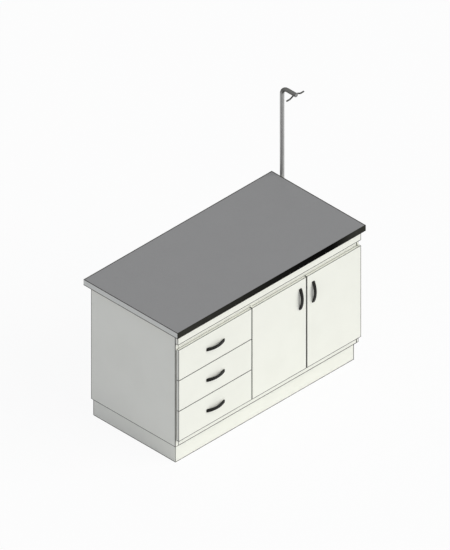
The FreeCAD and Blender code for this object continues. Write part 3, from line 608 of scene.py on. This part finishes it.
# Painted reflection: the strip's colour grows lighter towards both ends, for the sheen of a satin strip, with
# a little mottle.
painted_sheen = 1.0 - ease(along, *SHEEN_FROM_LEFT) + ease(along, *SHEEN_TO_RIGHT)
blotched_sheen = painted_sheen * (0.85 + mottle(place, 30.0) * 0.3)
feed(black_strip, {
    "Base Color": tint(blotched_sheen, STRIP_BLACK, STRIP_PAINTED_SHEEN),
    "Roughness": 0.36 + drag * 0.16,
    "Normal": relief(drag, 0.00004, 0.5),
})
core_front = front_high.y
fit(shell("front_strip", [strip((front_low.x, core_front), (front_high.x, core_front))], black_strip),
    "cabinet", "black_edging", "worktop_front_edging")

STRIP_LIGHT = (0.735, 0.745, 0.705)
STRIP_CLOUD = (0.70, 0.71, 0.67)
SHADE_FOOT_WIDER = 2.2
EDGE_FULL, EDGE_GONE = 0.0022, 0.0030
light_strip, place = start_finish("light_edging_strip", {"Specular IOR Level": 0.35})
drag = mottle(place, 900.0, 2.0, (0.02, 0.02, 1.0))
# The dark band along the top is the laminate's core. The wider dark band along the foot is painted shade
# under the overhang.
level = coordinates(place)[ALONG_Z]
from_edge = level.math("MINIMUM", (level - top_low.z) / SHADE_FOOT_WIDER, top_high.z - level)
core_and_shade_line = 1.0 - ease(from_edge, EDGE_FULL, EDGE_GONE)
clouded = tint(mottle(place, 4.0), STRIP_LIGHT, STRIP_CLOUD)
feed(light_strip, {
    "Base Color": tint(core_and_shade_line, clouded, DARK_CORE_AND_SHADE),
    "Roughness": 0.40 + drag * 0.12,
    "Normal": relief(drag, 0.00004, 0.5),
})
core_left, core_right, core_back = top_low.x + STRIP, top_high.x - STRIP, top_high.y - STRIP
fit(shell("light_strips", [strip((core_left, top_high.y), (core_left, core_front)),
                           strip((core_right, core_front), (core_right, top_high.y)),
                           strip((core_right, core_back), (core_left, core_back))], light_strip),
    "cabinet", "light_edging", "worktop_light_edgings")


# Pole brackets. Two aluminium castings, tumbled to a satin skin, screwed to the right end panel. Each has a
# boss bored for the pole's bush.
CAST = (0.56, 0.56, 0.57)
CAST_DULL = (0.47, 0.47, 0.48)
casting, place = start_finish("tumbled_casting", {"Metallic": 1.0})
pits = mottle(place, 800.0, 3.0)
feed(casting, {
    "Base Color": tint(mottle(place, 60.0, 3.0), CAST, CAST_DULL),
    "Roughness": 0.40 + pits * 0.16,
    "Normal": relief(pits, 0.00012, 0.6),
})
dress(casting, "upper_pole_bracket", "lower_pole_bracket")


# Pole bushes. Turned black plastic sleeves with a rounded flange that rests on each boss, so the pole swivels
# without scraping. The lower one has a floor that the pole stands on.
def flanged_bush(centre, profile):
    """A sleeve: its closed profile of (radius, height) points spun about the pole's own line."""
    steps = 56
    radius, height = (np.broadcast_to(column[:, None], (len(profile), steps)) for column in profile.T)
    return spin(radius, height, centre, UP)


pole_low, pole_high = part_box("pole_tube")
pole_radius = (pole_high.x - pole_low.x) / 2.0
pole_x = (pole_low.x + pole_high.x) / 2.0
pole_y = pole_high.y - pole_radius
bush_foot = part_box("pole_bushes")[0].z
FLANGE = 0.0025
FLANGE_RADIUS = 0.0185
SLEEVE_RADIUS = 0.0155
RUN_CLEARANCE = 0.00005
lip = FLANGE / 2.0
half_turn = np.linspace(-math.pi / 2.0, math.pi / 2.0, 9)
round_rim = np.stack([FLANGE_RADIUS - lip + lip * np.cos(half_turn), lip + lip * np.sin(half_turn)], axis=-1)
BORE = pole_radius + RUN_CLEARANCE


def bush_profile(top, bottom):
    """Down the bore, across the sleeve's foot, up its outside and round the flange, from the boss's top."""
    return np.concatenate([[[BORE, FLANGE], [BORE, bottom - top], [SLEEVE_RADIUS, bottom - top],
                            [SLEEVE_RADIUS, 0.0]], round_rim])


bushes = []
for bracket in ("upper_pole_bracket", "lower_pole_bracket"):
    boss_low, boss_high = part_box(bracket)
    bushes.append(flanged_bush((pole_x, pole_y, boss_high.z),
                               bush_profile(boss_high.z, max(boss_low.z, bush_foot))))
BUSH_BLACK = (0.012, 0.012, 0.012)
BUSH_CLOUD = (0.022, 0.022, 0.021)
bush_plastic, place = start_finish("black_bush_plastic", {"Specular IOR Level": 0.3})
turning = mottle(place, 1200.0, 2.0, (0.05, 0.05, 1.0))
feed(bush_plastic, {
    "Base Color": tint(mottle(place, 150.0, 3.0), BUSH_BLACK, BUSH_CLOUD),
    "Roughness": 0.42 + turning * 0.16,
    "Normal": relief(turning, 0.00004, 0.5),
})
fit(shell("turned_bushes", bushes, bush_plastic, looped=True), "pole_guide", "black_plastic", "pole_bushes")


# IV pole. One stainless tube, satin polished along its length, bent over at the top in a smooth elbow.
# The arm past the elbow is coloured a darker grey as painted shade, and made a little rougher.
BEND = 0.045
STEEL = (0.47, 0.47, 0.465)
STEEL_SMUDGED = (0.41, 0.41, 0.405)
STEEL_ARM_SHADE = (0.165, 0.165, 0.160)
steel, place = start_finish("satin_stainless", {"Metallic": 1.0, "Specular Tint": (0.0, 0.0, 0.0, 1.0)})
polish = mottle(place, 1500.0, 2.0, (1.0, 1.0, 0.01))
smudge = ease(mottle(place, 40.0, 4.0, (1.0, 1.0, 0.4)), 0.4, 0.75)
arm_z = pole_high.z - pole_radius
# Painted shade: the arm and the top of the elbow are darker in colour.
arm_shade = ease(coordinates(place)[ALONG_Z], arm_z - BEND, arm_z - BEND / 4.0)
feed(steel, {
    "Base Color": tint(arm_shade, tint(smudge, STEEL, STEEL_SMUDGED), STEEL_ARM_SHADE),
    "Roughness": 0.42 + polish * 0.10 + smudge * 0.06 + arm_shade * 0.06,
    "Normal": relief(polish, 0.00002, 0.5),
})
elbow = np.linspace(0.0, math.pi / 2.0, 25)
pole_path = np.concatenate([
    [[0.0, pole_low.z]],
    np.stack([BEND * np.cos(elbow) - BEND, arm_z - BEND + BEND * np.sin(elbow)], axis=-1),
    [[pole_low.y - pole_y, arm_z]]])
pole_path = np.insert(pole_path + (pole_y, 0.0), 0, pole_x, axis=1)
angle = np.arange(64) * 2.0 * math.pi / 64
circle = np.stack([np.cos(angle), np.sin(angle)], axis=-1)
fit(shell("pole_steel_tube", [carry(pole_radius * circle, pole_path, (1.0, 0.0, 0.0))], steel),
    "iv_pole", "pole_steel", "pole_tube")


# Pole plugs. Moulded mid-grey plastic, pushed into the tube's two ends, each with a rounded rim.
PLUG_GREY = (0.25, 0.25, 0.245)
PLUG_CLOUD = (0.21, 0.21, 0.205)
plug_plastic, place = start_finish("grey_plug_plastic", {"Specular IOR Level": 0.4})
grip = mottle(place, 900.0, 2.0)
feed(plug_plastic, {
    "Base Color": tint(mottle(place, 120.0, 3.0), PLUG_GREY, PLUG_CLOUD),
    "Roughness": 0.42 + grip * 0.12,
    "Normal": relief(grip, 0.00005, 0.5),
})
PLUG = 0.002
PLUG_RIM = 0.0015
PLUG_MIDDLE = 0.002
rim = np.linspace(0.0, math.pi / 2.0, 9)
plug_radius = np.concatenate([[pole_radius], pole_radius - PLUG_RIM + PLUG_RIM * np.cos(rim), [PLUG_MIDDLE]])
plug_height = np.concatenate([[0.0], PLUG - PLUG_RIM + PLUG_RIM * np.sin(rim), [PLUG]])
plug_rings = np.broadcast_to(plug_radius[:, None], (len(plug_radius), 48))
plug_levels = np.broadcast_to(plug_height[:, None], plug_rings.shape)
fit(shell("tube_plugs", [spin(plug_rings, plug_levels, (pole_x, pole_low.y, arm_z), (0.0, -1.0, 0.0)),
                         spin(plug_rings, plug_levels, (pole_x, pole_y, pole_low.z), DOWN)], plug_plastic),
    "iv_pole", "grey_cap", "pole_caps")


# Double hook. One dark drawn wire pushed through the arm near its end and welded. Both prongs slope down
# and end in level tips, ground round.
hook_low, hook_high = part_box("pole_hook")
wire_radius = (hook_high.y - hook_low.y) / 2.0
hook_half = (hook_high.x - hook_low.x) / 2.0
hook_y = (hook_low.y + hook_high.y) / 2.0
hook_drop = 0.0115
SLOPE_FROM, SLOPE_TO = 0.0130, 0.0460
tip = np.sin(np.linspace(0.0, math.pi / 2.0, 9))[::-1]
out = np.concatenate([-hook_half + wire_radius * (1.0 - tip[:-1]),
                      np.linspace(wire_radius - hook_half, hook_half - wire_radius, 97),
                      hook_half - wire_radius * (1.0 - tip[::-1][1:])])
fall = np.clip((np.abs(out) - SLOPE_FROM) / (SLOPE_TO - SLOPE_FROM), 0.0, 1.0)
hook_path = np.stack([pole_x + out, np.full_like(out, hook_y),
                      arm_z - hook_drop * fall ** 2 * (3.0 - 2.0 * fall)], axis=-1)
beyond = np.clip(np.abs(out) - hook_half + wire_radius, 0.0, 0.985 * wire_radius)
swell = np.sqrt(1.0 - (beyond / wire_radius) ** 2)
wire_surface = carry(wire_radius * circle[::2], hook_path, (0.0, 1.0, 0.0))
wire_surface = hook_path[:, None] + (wire_surface - hook_path[:, None]) * swell[:, None, None]
OXIDE = (0.045, 0.045, 0.043)
OXIDE_RUBBED = (0.075, 0.075, 0.072)
oxide, place = start_finish("dark_wire_steel", {"Metallic": 1.0})
scale = mottle(place, 900.0, 3.0, (0.15, 1.0, 1.0))
feed(oxide, {
    "Base Color": tint(ease(scale, 0.35, 0.7), OXIDE, OXIDE_RUBBED),
    "Roughness": 0.34 + scale * 0.14,
    "Normal": relief(scale, 0.00003, 0.5),
})
fit(shell("hook_wire", [wire_surface], oxide), "iv_pole", "pole_steel", "pole_hook")


# Clamp knob. Black moulded plastic with seven finger flutes and a domed face, on a zinc stud that screws
# through the side of the upper boss and bears on the bush.
knob_low, knob_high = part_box("clamp_knob")
knob_radius = (knob_high.y - knob_low.y) / 2.0
boss_low, boss_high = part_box("upper_pole_bracket")
KNOB_LENGTH = 0.020
KNOB_BACK = 0.0015
KNOB_DOME = 0.0040
knob_seat = (knob_high.x - KNOB_LENGTH, (knob_low.y + knob_high.y) / 2.0, (boss_low.z + boss_high.z) / 2.0)
FLUTES = 7
FLUTE_DEPTH = 0.0024
KNOB_BLACK = (0.014, 0.014, 0.014)
KNOB_CLOUD = (0.024, 0.024, 0.023)
knob_plastic, place = start_finish("black_knob_plastic", {"Specular IOR Level": 0.45})
grain = mottle(place, 1400.0, 2.0)
feed(knob_plastic, {
    "Base Color": tint(mottle(place, 80.0, 3.0), KNOB_BLACK, KNOB_CLOUD),
    "Roughness": 0.44 + grain * 0.14,
    "Normal": relief(grain, 0.00008, 0.6),
})
steps = 98
around = np.arange(steps) * 2.0 * math.pi / steps
back = np.linspace(0.0, 1.0, 9)
face = np.linspace(1.0, 0.06, 14)
share = np.concatenate([back, np.ones(6), face])
level = np.concatenate([KNOB_BACK * (1.0 - np.sqrt(1.0 - back ** 2)),
                        np.linspace(0.0025, KNOB_LENGTH - 0.0045, 6),
                        KNOB_LENGTH - KNOB_DOME * face ** 3])
waist = 1.0 - FLUTE_DEPTH / knob_radius * (0.5 - 0.5 * np.cos(FLUTES * around)) ** 1.5
flute_share = np.clip((share - 0.55) / 0.45, 0.0, 1.0)[:, None] ** 2
knob_surface = spin(knob_radius * np.maximum(share, 0.24)[:, None] * (1.0 + (waist - 1.0) * flute_share),
                    np.broadcast_to(level[:, None], (len(level), steps)),
                    knob_seat, OUTWARD_RIGHT)
STUD_RADIUS = 0.004
stud_start = knob_low.x - (knob_high.x - KNOB_LENGTH)
stud_radius_along = np.array([0.7, 1.0, 1.0, 1.0])[:, None] * STUD_RADIUS
stud_level = np.array([stud_start, stud_start + 0.0012, -0.001, 0.0012])[:, None]
stud_surface = spin(np.broadcast_to(stud_radius_along, (4, 32)), np.broadcast_to(stud_level, (4, 32)),
                    knob_seat, OUTWARD_RIGHT)
fit(shell("fluted_knob", [knob_surface], knob_plastic), "pole_clamp", "black_plastic", "clamp_knob")
stud_piece = shell("knob_stud", [stud_surface], screw_zinc)
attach(stud_piece, "pole_clamp")


# Studio. A pale paper floor that fades into a white surround, one wide soft key light from the front
# and right, and an even, slightly cool sky as fill.
FLOOR_HALF = 12.0
floor_mesh = bpy.data.meshes.new("studio_floor")
floor_mesh.from_pydata([(-FLOOR_HALF, -FLOOR_HALF, 0.0), (FLOOR_HALF, -FLOOR_HALF, 0.0),
                        (FLOOR_HALF, FLOOR_HALF, 0.0), (-FLOOR_HALF, FLOOR_HALF, 0.0)], [], [(0, 1, 2, 3)])
floor = bpy.data.objects.new("studio_floor", floor_mesh)
bpy.context.scene.collection.objects.link(floor)


def looked_at(tree):
    """1 for rays from the camera, straight or by way of gloss or glass, and 0 for rays that carry light."""
    rays = tree.nodes.new("ShaderNodeLightPath").outputs
    seen, mirrored, through = (Wire(rays[f"Is {kind} Ray"]) for kind in ("Camera", "Glossy", "Transmission"))
    return seen.math("MAXIMUM", seen, mirrored.math("MAXIMUM", mirrored, through))


WHITE = (1.0, 1.0, 1.0, 1.0)
PAPER = (0.94, 0.94, 0.94, 1.0)
PAPER_GLOW = 0.92
paper = bpy.data.materials.new("studio_paper")
paper.use_nodes = True
paper.node_tree.nodes.clear()
looking = looked_at(paper.node_tree)
matt = looking.node("ShaderNodeBsdfDiffuse", None, {"Color": PAPER})
glow = looking.node("ShaderNodeEmission", None, {"Color": WHITE, "Strength": 1.0})
mixed = looking.node("ShaderNodeMixShader", None, {0: looking * PAPER_GLOW, 1: matt, 2: glow})
looking.node("ShaderNodeOutputMaterial", None, {"Surface": mixed})
floor_mesh.materials.append(paper)

SKY_COLOUR = (0.906, 0.919, 1.0, 1.0)
SKY_STRENGTH = 0.485
sky = bpy.data.worlds.new("studio_sky")
sky.use_nodes = True
sky.node_tree.nodes.clear()
looking = looked_at(sky.node_tree)
fill = looking.node("ShaderNodeBackground", None, {"Color": SKY_COLOUR, "Strength": SKY_STRENGTH})
surround = looking.node("ShaderNodeBackground", None, {"Color": WHITE, "Strength": 1.0})
mixed = looking.node("ShaderNodeMixShader", None, {0: looking, 1: fill, 2: surround})
looking.node("ShaderNodeOutputWorld", None, {"Surface": mixed})
bpy.context.scene.world = sky

KEY_FROM = Vector((0.42, -0.80, 0.55))
KEY_STRENGTH = 1.81
KEY_SPREAD = math.radians(60.0)
KEY_COLOUR = (1.0, 0.992, 0.928)
key_light = bpy.data.lights.new("key_light", "SUN")
key_light.energy = KEY_STRENGTH
key_light.color = KEY_COLOUR
key_light.angle = KEY_SPREAD
key = bpy.data.objects.new("key_light", key_light)
key.rotation_euler = KEY_FROM.to_track_quat("Z", "Y").to_euler()
bpy.context.scene.collection.objects.link(key)


# Camera. A true isometric view from the front left, without perspective. Its scale and aim are fitted
# so that the object's edges fall where the photograph has them.
FRAME_HEIGHT_PX = 550
PX_PER_METRE = 174.63
AIM = Vector((0.0014, -0.0014, 0.7915))
CAMERA_BACK = Vector((-1.0, -1.0, 1.0)).normalized()
CAMERA_DISTANCE = 6.0
isometric = bpy.data.cameras.new("photo_camera")
isometric.type = "ORTHO"
isometric.ortho_scale = FRAME_HEIGHT_PX / PX_PER_METRE
camera = bpy.data.objects.new("photo_camera", isometric)
camera.location = AIM + CAMERA_BACK * CAMERA_DISTANCE
camera.rotation_euler = CAMERA_BACK.to_track_quat("Z", "Y").to_euler()
bpy.context.scene.collection.objects.link(camera)
bpy.context.scene.camera = camera
bpy.context.scene.view_settings.view_transform = "Standard"
